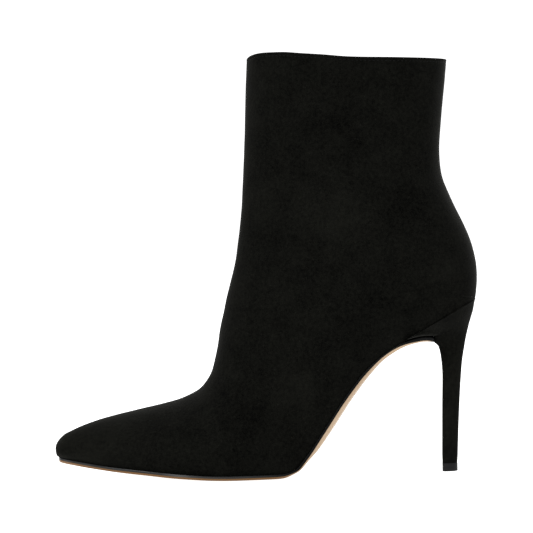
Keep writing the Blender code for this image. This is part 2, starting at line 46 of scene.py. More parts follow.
# Finishes: a wire is a node's output, so a sum of wires is written as plain Python

class Wire:
    def __init__(self, finish, socket):
        self.finish = finish
        self.socket = socket

    def sum(self, operation, first, second):
        return self.finish.node("ShaderNodeMath", {"operation": operation}, {0: first, 1: second})

    def __add__(self, other):
        return self.sum("ADD", self, other)

    def __radd__(self, other):
        return self.sum("ADD", other, self)

    def __sub__(self, other):
        return self.sum("SUBTRACT", self, other)

    def __rsub__(self, other):
        return self.sum("SUBTRACT", other, self)

    def __mul__(self, other):
        return self.sum("MULTIPLY", self, other)

    def __rmul__(self, other):
        return self.sum("MULTIPLY", other, self)


lumpShare = 0.6  # a lump of a noise is about this share of its cell
noiseSpan = (0.3, 0.7)  # nearly all values of a noise
noiseCore = (0.35, 0.65)  # a narrower span, which gives more contrast


class Finish:
    def __init__(self, name, fixed):
        self.material = bpy.data.materials.new(name)
        self.material.use_nodes = True
        self.tree = self.material.node_tree
        self.shader = self.tree.nodes["Principled BSDF"]
        for socket, value in fixed.items():
            self.shader.inputs[socket].default_value = value

    def node(self, kind, settings=None, inputs=None, output=0):
        made = self.tree.nodes.new(kind)
        for name, value in (settings or {}).items():
            setattr(made, name, value)
        for socket, value in (inputs or {}).items():
            self.feed(made.inputs[socket], value)
        return Wire(self, made.outputs[output])

    def feed(self, socket, value):
        if isinstance(value, Wire):
            self.tree.links.new(value.socket, socket)
        else:
            socket.default_value = value

    def set(self, socket, value):
        self.feed(self.shader.inputs[socket], value)

    def place(self, stretch=(1, 1, 1)):  # the point on the boot, in metres times stretch
        spot = self.node("ShaderNodeTexCoord", output="Object")
        return self.node("ShaderNodeMapping", {}, {"Vector": spot, "Scale": stretch})

    def lengthways(self):  # X of the point on the boot
        return self.node("ShaderNodeSeparateXYZ", {}, {0: self.place()})

    def grain(self, size, detail=2.0, rough=0.5, stretch=(1, 1, 1)):  # lumps about size across
        inputs = {"Vector": self.place(stretch), "Scale": lumpShare / size,
                  "Detail": detail, "Roughness": rough}
        return self.node("ShaderNodeTexNoise", {}, inputs)

    # low..high becomes newLow..newHigh, and values beyond stay at the ends
    def spread(self, value, low, high, newLow=0.0, newHigh=1.0, kind="LINEAR"):
        settings = {"clamp": True, "interpolation_type": kind}
        inputs = {0: value, 1: low, 2: high, 3: newLow, 4: newHigh}
        return self.node("ShaderNodeMapRange", settings, inputs)

    def mix(self, share, first, second):
        settings = {"data_type": "RGBA", "blend_type": "MIX"}
        return self.node("ShaderNodeMix", settings, {0: share, 6: first, 7: second}, output=2)

    def bump(self, height, look):
        inputs = {"Height": height, "Distance": look["bumpDepth"], "Strength": look["bumpStrength"]}
        return self.node("ShaderNodeBump", {}, inputs)


def grey(level, warmth=0.0):
    return (level * (1 - 0.1 * warmth), level, level * (1 - warmth), 1)


# Places where the nap tone is lighter or darker, partly brushed nap and partly painted light and
# shade of the boot's broad forms: X, Z and radius in mm, and change of tone
napAndShadeNames = ("x", "z", "radius", "tone")
napAndShadePlaces = (
    (42, 152, 34, 0.55),
    (16, 108, 24, 0.12),
    (18, 52, 22, 0.60),
    (-1, 160, 16, 0.35),
    (-92, 20, 30, 0.45),
    (-116, 14, 26, 0.60),
    (106, 48, 34, 0.65),
    (104, 20, 26, 0.50),
    (104, 118, 24, 0.40),
    (84, 158, 26, -0.30),
    (12, 136, 18, -0.30),
    (-12, 40, 26, -0.42),
    (48, 204, 30, -0.25),
    (70, 104, 22, -0.25),
)

suedeLook = {
    "dark": 0.00005,
    "light": 0.0078,
    "warmth": 0.20,
    "headroom": 0.64,  # leaves room for the places of brushed nap and painted light and shade below the light tone
    "patch": 7 * mm,  # soft patches in the nap
    "patchTone": 0.20,
    "fleck": 1.1 * mm,
    "fleckTone": 0.40,
    "fleckSpan": (0.34, 0.66),  # of the patches too
    "fibre": 0.30 * mm,
    "fibreTone": 0.38,
    "fibreSpan": (0.36, 0.64),
    "dust": 0.9 * mm,  # sparse light specks
    "dustTone": 0.45,
    "dustSpan": (0.68, 0.80),
    "napAndShadeTone": 0.42,  # times the tone in each row of the places of brushed nap and painted light and shade
    "roughness": (0.86, 0.98),
    "napFibre": 0.7,
    "napFleck": 0.6,
    "bumpDepth": 0.14 * mm,
    "bumpStrength": 0.8,
    "specular": 0.02,
    "sheen": 0.034,
    "sheenRoughness": 0.36,
    "sheenTint": (0.85, 0.85, 0.78, 1),
}


def suede(name, look):
    finish = Finish(name, {"Specular IOR Level": look["specular"],
                           "Sheen Weight": look["sheen"],
                           "Sheen Roughness": look["sheenRoughness"],
                           "Sheen Tint": look["sheenTint"]})
    patches = finish.grain(look["patch"], detail=2.5, rough=0.55)
    flecks = finish.grain(look["fleck"], detail=3.0, rough=0.6)
    fibres = finish.grain(look["fibre"], detail=2.0, rough=0.6)
    dust = finish.grain(look["dust"], detail=1.0)
    tone = finish.spread(patches, *look["fleckSpan"]) * look["patchTone"]
    tone = tone + finish.spread(flecks, *look["fleckSpan"]) * look["fleckTone"]
    tone = tone + finish.spread(fibres, *look["fibreSpan"]) * look["fibreTone"]
    tone = tone + finish.spread(dust, *look["dustSpan"]) * look["dustTone"]
    side = finish.place((1, 0, 1))
    # brushed nap tone and painted light and shade of the broad forms, added to the tone
    for row in napAndShadePlaces:
        spot = dict(zip(napAndShadeNames, row))
        centre = (spot["x"] * mm, 0, spot["z"] * mm)
        away = finish.node("ShaderNodeVectorMath", {"operation": "DISTANCE"},
                           {0: side, 1: centre}, output=1)
        change = look["napAndShadeTone"] * spot["tone"]
        tone = tone + finish.spread(away, spot["radius"] * mm, 0, 0, change, "SMOOTHSTEP")
    dark = grey(look["dark"], look["warmth"])
    light = grey(look["light"], look["warmth"])
    finish.set("Base Color", finish.mix(tone * look["headroom"], dark, light))
    finish.set("Roughness", finish.spread(flecks, *noiseSpan, *look["roughness"]))
    nap = fibres * look["napFibre"] + flecks * look["napFleck"]
    finish.set("Normal", finish.bump(nap, look))
    return finish.material


soleLook = {
    "tan": (0.31, 0.215, 0.135, 1),
    "pale": (0.39, 0.290, 0.195, 1),
    "forepartShade": (0.125, 0.060, 0.019, 1),  # painted shade on the bevel round the forepart, where it sits near the floor
    "forepartShadeSpan": (34 * mm, 4 * mm),  # along X, from plain to the painted shade
    "black": (0.0012, 0.0012, 0.0012, 1),
    "tailSpan": (94 * mm, 98.5 * mm),  # along X, from tan to black
    "cloud": 14 * mm,
    "cloudTone": 0.45,
    "streak": 5 * mm,
    "streakTone": 0.40,
    "streakStretch": (0.25, 1, 0.25),
    "pore": 0.45 * mm,
    "poreTone": 0.15,
    "roughness": (0.34, 0.50),
    "coat": (0.02, 0.10),
    "coatRoughness": 0.25,
    "specular": 0.12,
    "bumpDepth": 0.05 * mm,
    "bumpStrength": 0.6,
}


def tanLeather(name, look, shadeForepart):
    finish = Finish(name, {"Specular IOR Level": look["specular"],
                           "Coat Roughness": look["coatRoughness"]})
    cloud = finish.grain(look["cloud"], detail=3.0, rough=0.55)
    streaks = finish.grain(look["streak"], detail=4.0, rough=0.62, stretch=look["streakStretch"])
    pores = finish.grain(look["pore"], detail=2.0, rough=0.6)
    tone = finish.spread(cloud, *noiseCore) * look["cloudTone"]
    tone = tone + finish.spread(streaks, *noiseSpan) * look["streakTone"]
    tone = tone + finish.spread(pores, *noiseSpan) * look["poreTone"]
    colour = finish.mix(tone, look["tan"], look["pale"])
    along = finish.lengthways()
    if shadeForepart:
        # painted shade: the bevel darkens towards the toe, where the floor would shade it
        fore = finish.spread(along, *look["forepartShadeSpan"], kind="SMOOTHSTEP")
        colour = finish.mix(fore, colour, look["forepartShade"])
    tail = finish.spread(along, *look["tailSpan"], kind="SMOOTHSTEP")
    finish.set("Base Color", finish.mix(tail, colour, look["black"]))
    finish.set("Roughness", finish.spread(streaks, *noiseSpan, *look["roughness"]))
    finish.set("Coat Weight", finish.spread(cloud, *noiseSpan, *look["coat"]))
    finish.set("Normal", finish.bump(pores * 0.5 + streaks * 0.5, look))
    return finish.material


edgeLook = {
    "dark": 0.0012,
    "light": 0.0028,
    "drag": 3 * mm,  # marks drawn along the edge
    "dragStretch": (0.3, 1, 2.5),
    "speck": 0.6 * mm,
    "roughness": (0.16, 0.30),
    "coat": (0.56, 0.24),
    "coatSpan": (16 * mm, -14 * mm),  # along X, from the waist to the forepart
    "coatWaist": 0.02,  # the share of the coat in the waist
    "coatRoughness": 0.10,
    "shineAt": -49 * mm,  # the bright place beside the toes
    "shineReach": 12 * mm,
    "shineCoat": 0.75,
    "specular": 0.04,
    "dragHeight": 0.8,
    "speckHeight": 0.15,
    "bumpDepth": 0.10 * mm,
    "bumpStrength": 0.5,
}


def edgeDressing(name, look):
    finish = Finish(name, {"Specular IOR Level": look["specular"],
                           "Coat Roughness": look["coatRoughness"]})
    drag = finish.grain(look["drag"], detail=3.0, stretch=look["dragStretch"])
    specks = finish.grain(look["speck"])
    tone = finish.spread(drag, *noiseSpan)
    finish.set("Base Color", finish.mix(tone, grey(look["dark"]), grey(look["light"])))
    finish.set("Roughness", finish.spread(drag, *noiseSpan, *look["roughness"]))
    along = finish.lengthways()
    fore = finish.spread(along, *look["coatSpan"], look["coatWaist"], 1.0, "SMOOTHSTEP")
    away = finish.node("ShaderNodeMath", {"operation": "ABSOLUTE"}, {0: along - look["shineAt"]})
    shine = finish.spread(away, look["shineReach"], 0, 0, look["shineCoat"], "SMOOTHSTEP")
    finish.set("Coat Weight", fore * finish.spread(drag, *noiseSpan, *look["coat"]) + shine)
    height = drag * look["dragHeight"] + specks * look["speckHeight"]
    finish.set("Normal", finish.bump(height, look))
    return finish.material


liningLook = {
    "dark": (0.40, 0.27, 0.165),
    "light": (0.52, 0.375, 0.245),
    "sockLift": 1.06,  # the sock is this much lighter
    "cloud": 16 * mm,
    "cloudTone": 0.6,
    "pore": 0.7 * mm,
    "poreEdge": 0.12,  # width of the creases between the pores
    "poreTone": 0.2,
    "fine": 0.5 * mm,
    "fineTone": 0.2,
    "roughness": (0.50, 0.66),
    "specular": 0.4,
    "poreHeight": 0.6,
    "fineHeight": 0.4,
    "bumpDepth": 0.06 * mm,
    "bumpStrength": 0.5,
}


def liningLeather(name, look, lift=1.0):
    finish = Finish(name, {"Specular IOR Level": look["specular"]})
    cloud = finish.grain(look["cloud"], detail=3.0, rough=0.55)
    cells = finish.node("ShaderNodeTexVoronoi", {"feature": "DISTANCE_TO_EDGE"},
                        {"Vector": finish.place(), "Scale": 1 / look["pore"]})
    creases = finish.spread(cells, 0.0, look["poreEdge"])
    fine = finish.grain(look["fine"])
    tone = finish.spread(cloud, *noiseCore) * look["cloudTone"] + creases * look["poreTone"]
    tone = tone + finish.spread(fine, *noiseSpan) * look["fineTone"]
    dark, light = (tuple(c * lift for c in look[end]) + (1,) for end in ("dark", "light"))
    finish.set("Base Color", finish.mix(tone, dark, light))
    finish.set("Roughness", finish.spread(fine, *noiseSpan, *look["roughness"]))
    height = creases * look["poreHeight"] + fine * look["fineHeight"]
    finish.set("Normal", finish.bump(height, look))
    return finish.material


rubberLook = {
    "dark": 0.0035,
    "light": 0.0070,
    "cloud": 4 * mm,
    "speck": 0.5 * mm,
    "roughness": (0.50, 0.68),
    "specular": 0.12,
    "bumpDepth": 0.05 * mm,
    "bumpStrength": 0.5,
}


def liftRubber(name, look):
    finish = Finish(name, {"Specular IOR Level": look["specular"]})
    specks = finish.grain(look["speck"], detail=3.0)
    tone = finish.spread(finish.grain(look["cloud"]), *noiseSpan)
    finish.set("Base Color", finish.mix(tone, grey(look["dark"]), grey(look["light"])))
    finish.set("Roughness", finish.spread(specks, *noiseSpan, *look["roughness"]))
    finish.set("Normal", finish.bump(specks, look))
    return finish.material


threadLook = {
    "level": 0.0042,
    "between": 0.6,  # the thread's tone between its strands, as a share of level
    "twist": 900.0,
    "waver": 0.4,
    "roughness": (0.5, 0.7),
    "specular": 0.06,
    "sheen": 0.01,
    "bumpDepth": 0.05 * mm,
    "bumpStrength": 0.6,
}


def sewingThread(name, look):
    finish = Finish(name, {"Specular IOR Level": look["specular"], "Sheen Weight": look["sheen"]})
    twist = finish.node("ShaderNodeTexWave", {"wave_type": "BANDS", "bands_direction": "DIAGONAL"},
                        {"Vector": finish.place(), "Scale": look["twist"],
                         "Distortion": look["waver"]})
    dark, light = grey(look["level"] * look["between"]), grey(look["level"])
    finish.set("Base Color", finish.mix(twist, dark, light))
    finish.set("Roughness", finish.spread(twist, 0.0, 1.0, *look["roughness"]))
    finish.set("Normal", finish.bump(twist, look))
    return finish.material


suedeFinish = suede("blackSuede", suedeLook)
heelFinish = suede("heelSuede", suedeLook)
tanFinish = tanLeather("tanSoleLeather", soleLook, False)
bevelFinish = tanLeather("tanSoleBevel", soleLook, True)
edgeFinish = edgeDressing("blackEdgeDressing", edgeLook)
liningFinish = liningLeather("beigeLining", liningLook)
sockFinish = liningLeather("beigeSock", liningLook, liningLook["sockLift"])
rubberFinish = liftRubber("blackLiftRubber", rubberLook)
threadFinish = sewingThread("blackThread", threadLook)
print("finishes made")


# Shapes: each piece starts from its CAD solid, smoothed and given its edges, folds and seams

shapeValues = {
    "weld": 0.002 * mm,
    "poleEdges": 12,  # round a corner with this many edges the triangles stay
    "smoothRounds": 3,
    "smoothPull": 0.9,
    "ringShare": 0.8,  # a ring is cut no further along an edge than this
    "collarFrom": 225 * mm,  # open edges above this height are the collar's
    "rimFrom": 230 * mm,  # and the rim's faces lie above this one
    "rimNormal": 0.8,  # and look up more than this
}


def castFrom(name):  # the solid's mesh, its triangles joined back into quads
    shape = bmesh.new()
    shape.from_mesh(nodes[name].data)
    bmesh.ops.remove_doubles(shape, verts=shape.verts, dist=shapeValues["weld"])
    most = shapeValues["poleEdges"]
    free = [f for f in shape.faces if all(len(v.link_edges) < most for v in f.verts)]
    bmesh.ops.join_triangles(shape, faces=free, angle_face_threshold=1.0,
                             angle_shape_threshold=math.pi, topology_influence=2.0)
    shape.normal_update()
    return shape


def keepOnly(shape, faces):
    faces = set(faces)
    bmesh.ops.delete(shape, geom=[f for f in shape.faces if f not in faces], context="FACES")
    return shape


def toObject(shape, name):
    mesh = bpy.data.meshes.new(name)
    shape.to_mesh(mesh)
    shape.free()
    mesh.shade_smooth()
    return inScene(name, mesh)


def inScene(name, data):
    thing = bpy.data.objects.new(name, data)
    bpy.context.scene.collection.objects.link(thing)
    return thing


def evaluated(thing):
    thing.data.update_tag()
    bpy.context.view_layer.update()
    return thing.evaluated_get(bpy.context.evaluated_depsgraph_get())


def applyAll(thing):  # the modified mesh takes the place of the plain one
    made = bpy.data.meshes.new_from_object(evaluated(thing))
    thing.modifiers.clear()
    old = thing.data
    thing.data = made
    made.name = thing.name
    bpy.data.meshes.remove(old)
    return thing


def smoothed(thing, levels):  # the smooth surface still passes through the solid's corners
    modifier = thing.modifiers.new("smooth", "SUBSURF")
    modifier.levels = modifier.render_levels = levels
    aim, _ = getPoints(thing.data)
    for _ in range(shapeValues["smoothRounds"]):
        reached, _ = getPoints(evaluated(thing).data)
        cage, _ = getPoints(thing.data)
        setPoints(thing.data, cage + shapeValues["smoothPull"] * (aim - reached[:len(aim)]))
    return applyAll(thing)


def walled(thing, thickness, offset):  # offset -1 is behind the surface, 1 in front of it
    modifier = thing.modifiers.new("wall", "SOLIDIFY")
    modifier.thickness = thickness
    modifier.offset = offset
    return applyAll(thing)


def bevelled(thing, width, segments, angle):
    modifier = thing.modifiers.new("rim", "BEVEL")
    modifier.width = width
    modifier.segments = segments
    modifier.limit_method = "ANGLE"
    modifier.angle_limit = math.radians(angle)
    modifier.use_clamp_overlap = True
    return applyAll(thing)


def creased(shape, v):  # sharp edges stay sharp when the piece is smoothed
    layer = shape.edges.layers.float.get("crease_edge")
    layer = layer or shape.edges.layers.float.new("crease_edge")
    sharp = math.radians(v["creaseAngle"])
    for edge in shape.edges:
        if len(edge.link_faces) == 2 and edge.calc_face_angle(0) > sharp:
            edge[layer] = v["crease"]
    return shape


def facesAt(corners):  # the faces round some vertices, always in the same order
    return list(dict.fromkeys(f for v in corners for f in v.link_faces))


def ringBeside(shape, line, distance):  # cuts a row of faces beside a line of vertices
    inLine, fresh = set(line), set()
    for corner in line:
        for edge in [e for e in corner.link_edges if e.other_vert(corner) not in inLine]:
            share = min(distance / edge.calc_length(), shapeValues["ringShare"])
            fresh.add(bmesh.utils.edge_split(edge, corner, share)[1])
    for face in facesAt(line):
        ends = [v for v in face.verts if v in fresh]
        if len(ends) == 2:
            bmesh.utils.face_split(face, *ends)


def openEdges(shape):  # vertices on the collar's open edge, and on the foot's
    found = [v for v in shape.verts if any(e.is_boundary for e in v.link_edges)]
    split = shapeValues["collarFrom"]
    return [v for v in found if v.co.z > split], [v for v in found if v.co.z < split]


def getPoints(mesh):
    points = np.zeros(len(mesh.vertices) * 3)
    mesh.vertices.foreach_get("co", points)
    normals = np.zeros(len(mesh.vertices) * 3)
    mesh.vertices.foreach_get("normal", normals)
    return points.reshape(-1, 3), normals.reshape(-1, 3)


def setPoints(mesh, points):
    mesh.vertices.foreach_set("co", points.reshape(-1))
    mesh.update()


def ease(value):  # 0 below 0, 1 above 1, smooth between
    value = np.clip(value, 0, 1)
    return value * value * (3 - 2 * value)


def alongLine(points, start, end):  # distance from a line in the side view
    start, end = np.array(start) * mm, np.array(end) * mm
    side = points[:, [0, 2]]
    way = end - start
    share = np.clip(((side - start) @ way) / (way @ way), 0, 1)
    return np.linalg.norm(side - start - share[:, None] * way, axis=1)


# Soft forms in the suede, seen from the side: start and end as X and Z in mm, the side of the foot,
# half width in mm, and height in mm, which is a trough where it is negative
formNames = ("start", "end", "side", "width", "height")
upperForms = (
    ((38, 214), (42, 150), "outer", 15, 0.55),
    ((8, 205), (4, 168), "outer", 10, 0.35),
    ((80, 196), (70, 160), "outer", 12, -0.45),
    ((18, 186), (24, 168), "outer", 9, -0.40),
    ((18, 132), (30, 116), "outer", 12, 0.45),
    ((6, 92), (22, 74), "outer", 10, 0.40),
    ((-12, 68), (14, 56), "outer", 9, -0.45),
    ((-26, 60), (-4, 78), "both", 4.5, -0.35),
    ((-30, 66), (-10, 92), "both", 5.5, 0.22),
    ((-22, 96), (-2, 88), "both", 5, -0.22),
    ((96, 150), (74, 142), "both", 8, -0.35),
    ((104, 128), (86, 116), "both", 10, 0.30),
    ((40, 218), (46, 150), "inner", 16, 0.50),
    ((12, 190), (20, 160), "inner", 10, -0.40),
    ((78, 204), (72, 166), "inner", 12, -0.40),
    ((14, 120), (34, 108), "inner", 12, 0.40),
    ((0, 70), (22, 62), "inner", 10, -0.35),
    ((-60, 20), (-40, 28), "outer", 12, -0.25),
    ((-84, 20), (-66, 26), "inner", 10, -0.20),
    ((82, 78.5), (122, 102.5), "both", 2.0, 0.28),
)

upperValues = {
    "suedeThickness": 1.05 * mm,
    "rimRounding": 0.40 * mm,
    "rimSegments": 3,
    "rimAngle": 55,  # degrees
    "levels": 2,
    "collarRings": (9.0, 5.5, 3.4, 2.7, 2.1, 1.5, 0.7),  # mm below the top line
    "collarFade": (1 * mm, 14 * mm),  # folds fade in from here below the top line, over this much
    "footFade": (6 * mm, 12 * mm),  # and so above the floor
    "footReach": 0.26 * mm,  # the suede closes on the sole and the heel
    "nap": 0.18 * mm,  # the suede stands this far out from the solid
    "waviness": 0.16 * mm,
    "waves": ((1.0, 21 * mm, 3.0), (0.4, 9 * mm, 11.0)),  # share of waviness, size and seed
    "formBlend": 6 * mm,  # over this much an outer form ends at the middle line
    "stitchDrop": 2.1 * mm,
    "stitchTrough": 0.12 * mm,
    "stitchTroughHalf": 0.75 * mm,
    "stitchesFrom": 150 * mm,
    "seamBehind": 100 * mm,
    "seamNear": 0.05 * mm,  # vertices this near the middle line lie on the back seam
    "seamRings": (5.0, 2.6, 1.2, 0.5),  # mm to each side of the back seam
    "seamStart": (96 * mm, 101 * mm),  # past this X and above this Z
    "seamFade": (6 * mm, 4 * mm),
    "seamGroove": 0.28 * mm,
    "seamGrooveHalf": 0.5 * mm,
    "seamBand": 0.16 * mm,
    "seamBandHalf": 3.4 * mm,
    "seamBandFade": 1.4 * mm,
}

liningValues = {
    "thickness": 0.55 * mm,
    "levels": 1,
    "rings": (6.0, 3.0),  # mm below the top line
    "drop": 0.55 * mm,  # the lining is trimmed this far below the suede's top line
    "rise": 1.6 * mm,  # and ends this far above the sole
}

# A line through the hollow of the boot, as X and Z in mm: what faces away from it is outside
spine = ((-117, 13.5), (-95, 18), (-55, 25), (-18, 33), (14, 52), (37, 82), (51, 118), (52, 260))


def facing(face):
    centre = face.calc_center_median()
    side = np.array([[centre.x, centre.z]])
    best = None
    for one, other in zip(spine, spine[1:]):
        start, way = np.array(one) * mm, (np.array(other) - np.array(one)) * mm
        share = min(max(float((side[0] - start) @ way / (way @ way)), 0), 1)
        near = start + way * share
        away = Vector((centre.x - near[0], centre.y - middle, centre.z - near[1]))
        if best is None or away.length < best.length:
            best = away
    return face.normal.dot(best)


def upperSkin(inside):
    shape = castFrom("upper")
    high = [f for f in shape.faces if f.calc_center_median().z > shapeValues["rimFrom"]]
    rim = {f for f in high if f.normal.z > shapeValues["rimNormal"]}
    inner = {f for f in shape.faces if f not in rim and facing(f) < 0}
    if inside:
        return keepOnly(shape, inner)
    touched = {v for f in inner for v in f.verts}
    outer = [f for f in shape.faces if f not in inner and not touched & set(f.verts)]
    return keepOnly(shape, outer)


def seamShift(points, v):  # the back seam: a fine groove between two flattened bands
    aside = np.abs(points[:, 1] - middle)
    (startX, startZ), (fadeX, fadeZ) = v["seamStart"], v["seamFade"]
    back = ease((points[:, 0] - startX) / fadeX) * ease((points[:, 2] - startZ) / fadeZ)
    band = v["seamBand"] * ease((v["seamBandHalf"] - aside) / v["seamBandFade"])
    groove = (v["seamGroove"] + v["seamBand"]) * np.exp(-(aside / v["seamGrooveHalf"]) ** 2)
    return back * (band - groove)


def topLine(mesh):  # the collar's open edge as a closed list of points, going round
    shape = bmesh.new()
    shape.from_mesh(mesh)
    start = openEdges(shape)[0][0]
    line, before = [start], None
    while True:
        ahead = [e.other_vert(line[-1]) for e in line[-1].link_edges if e.is_boundary]
        ahead = [v for v in ahead if v is not before]
        before = line[-1]
        if not ahead or ahead[0] is start:
            break
        line.append(ahead[0])
    found = np.array([v.co[:] for v in line])
    shape.free()
    return found


def dropFrom(points, line):  # how far each point lies under the top line
    middleX, middleY = line[:, 0].mean(), line[:, 1].mean()
    turn = np.arctan2(line[:, 1] - middleY, line[:, 0] - middleX)
    order = np.argsort(turn)
    where = np.arctan2(points[:, 1] - middleY, points[:, 0] - middleX)
    height = np.interp(where, turn[order], line[order, 2], period=2 * math.pi)
    return height - points[:, 2]


def formShift(points, v):
    total = np.zeros(len(points))
    across = (points[:, 1] - middle) / v["formBlend"]
    sides = {"outer": ease(0.5 - across), "inner": ease(0.5 + across), "both": 1}
    for row in upperForms:
        form = dict(zip(formNames, row))
        away = alongLine(points, form["start"], form["end"])
        shift = form["height"] * mm * np.exp(-((away / (form["width"] * mm)) ** 2))
        total += shift * sides[form["side"]]
    return total


def waves(points, size, seed):
    spots = [Vector(p) / size + Vector((seed, 0, 0)) for p in points]
    return np.array([noise.noise(s) for s in spots])


def makeUpper(v):
    shape = upperSkin(False)
    collar, _ = openEdges(shape)
    for drop in v["collarRings"]:
        ringBeside(shape, collar, drop * mm)
    for corner in openEdges(shape)[1]:
        corner.co.z -= v["footReach"]
    back = [p for p in shape.verts
            if abs(p.co.y - middle) < v["seamNear"] and p.co.x > v["seamBehind"]]
    lowest = min(back, key=lambda p: p.co.z)
    slanted = [e for e in lowest.link_edges
               if not e.is_boundary and e.other_vert(lowest) not in back]
    bmesh.ops.dissolve_edges(shape, edges=slanted, use_verts=False)
    for away in v["seamRings"]:
        ringBeside(shape, back, away * mm)
    thing = smoothed(toObject(shape, "upperSuede"), v["levels"])
    line = topLine(thing.data)
    points, normals = getPoints(thing.data)
    drop = dropFrom(points, line)
    fade = ease((drop - v["collarFade"][0]) / v["collarFade"][1])  # the top line keeps its place
    fade = fade * ease((points[:, 2] - v["footFade"][0]) / v["footFade"][1])
    shift = (formShift(points, v) + v["nap"]) * fade
    for share, size, seed in v["waves"]:
        shift += share * v["waviness"] * waves(points, size, seed) * fade
    high = points[:, 2] > v["stitchesFrom"]
    trough = np.exp(-((drop - v["stitchDrop"]) / v["stitchTroughHalf"]) ** 2)
    shift -= v["stitchTrough"] * trough * high
    shift += seamShift(points, v)
    setPoints(thing.data, points + normals * shift[:, None])
    skin = thing.data.copy()
    walled(thing, v["suedeThickness"], -1.0)
    bevelled(thing, v["rimRounding"], v["rimSegments"], v["rimAngle"])
    thing.data.materials.append(suedeFinish)
    return thing, skin, line


def makeLining(v):
    shape = upperSkin(True)
    collar, _ = openEdges(shape)
    for drop in v["rings"]:
        ringBeside(shape, collar, drop * mm)
    for corner in collar:
        corner.co.z -= v["drop"]
    _, foot = openEdges(shape)
    ringBeside(shape, foot, v["rise"])
    bmesh.ops.delete(shape, geom=facesAt(foot), context="FACES")
    for face in shape.faces:
        face.normal_flip()
    thing = smoothed(toObject(shape, "shaftLining"), v["levels"])
    walled(thing, v["thickness"], 1.0)
    thing.data.materials.append(liningFinish)
    return thing


upperSuede, suedeSkin, collarLine = makeUpper(upperValues)
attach(upperSuede, "root")
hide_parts("upper")
shaftLining = makeLining(liningValues)
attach(shaftLining, "root")
print("upper made:", len(upperSuede.data.polygons), "faces")
print("lining made:", len(shaftLining.data.polygons), "faces")


stitchValues = {
    "pitch": 2.4 * mm,
    "length": 1.7 * mm,
    "radius": 0.17 * mm,
    "sink": 0.11 * mm,
    "rise": 0.55,  # in radii: the stitch's middle stands this far out
    "dive": 1.3,  # and its ends turn down by this much
    "tip": 0.05,  # a tip's width, squared, as a share of the middle's
    "rings": 7,
    "sides": 6,
}


def evenly(line, pitch):  # points at a steady pitch along a closed line, with their directions
    closed = np.vstack([line, line[:1]])
    steps = np.linalg.norm(np.diff(closed, axis=0), axis=1)
    walked = np.concatenate([[0], np.cumsum(steps)])
    count = round(walked[-1] / pitch)
    at = np.linspace(0, walked[-1], count, endpoint=False)
    points = np.stack([np.interp(at, walked, closed[:, k]) for k in range(3)], -1)
    ways = np.roll(points, -1, axis=0) - np.roll(points, 1, axis=0)
    return points, ways / np.linalg.norm(ways, axis=1)[:, None]


def stitchRow(name, line, skin, drop, v):
    shape = bmesh.new()
    shape.from_mesh(skin)
    tree = BVHTree.FromBMesh(shape)
    shape.free()
    points, ways = evenly(line, v["pitch"])
    last, sides = v["rings"] - 1, v["sides"]
    corners, faces = [], []
    for point, way in zip(points, ways):
        near, normal, _, _ = tree.find_nearest(Vector(point) - Vector((0, 0, drop)))
        along = (Vector(way) - normal * normal.dot(Vector(way))).normalized()
        across = normal.cross(along)
        first = len(corners)
        for n in range(last + 1):  # rings along the stitch
            share = n / last * 2 - 1
            size = v["radius"] * math.sqrt(max(v["tip"], 1 - share ** 4))
            lift = v["radius"] * v["rise"] - v["sink"] - v["radius"] * v["dive"] * share ** 4
            centre = near + along * share * v["length"] / 2 + normal * lift
            for k in range(sides):
                turn = k * math.tau / sides
                corners.append(centre + (across * math.cos(turn) + normal * math.sin(turn)) * size)
        for n in range(last):
            for k in range(sides):
                a, b = first + n * sides + k, first + n * sides + (k + 1) % sides
                faces.append((a, b, b + sides, a + sides))
        faces.append(tuple(first + k for k in reversed(range(sides))))
        faces.append(tuple(first + last * sides + k for k in range(sides)))
    mesh = bpy.data.meshes.new(name)
    mesh.from_pydata([tuple(c) for c in corners], [], faces)
    mesh.shade_smooth()
    mesh.materials.append(threadFinish)
    return inScene(name, mesh)


toplineStitches = stitchRow("toplineStitches", collarLine, suedeSkin,
                            upperValues["stitchDrop"], stitchValues)
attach(toplineStitches, "root")
print("stitches made:", len(toplineStitches.data.polygons), "faces")


soleValues = {
    "levels": 2,
    "crease": 0.90,
    "creaseAngle": 26,  # degrees
    "tailFrom": 97.9 * mm,
    "tailEnd": 99.18 * mm,
    "waist": (8 * mm, 74 * mm),  # where the sole is left thicker, along X
    "waistFade": 16 * mm,
    "waistDepth": 0.62 * mm,
    "waistEdge": 0.50 * mm,  # and its black side reaches this much lower
    "bevelRise": 0.38 * mm,  # the bevel is this much wider
    "topNormal": 0.3,  # faces that look up more than this are the top
    "underSpan": (0.15, 0.35),  # how much the sole looks down where it thickens, and the fade
}


def waistShare(x, v):  # 1 in the waist, 0 in the forepart and the tail
    start, end = v["waist"]
    return ease((x - start) / v["waistFade"]) * ease((end - x) / v["waistFade"])


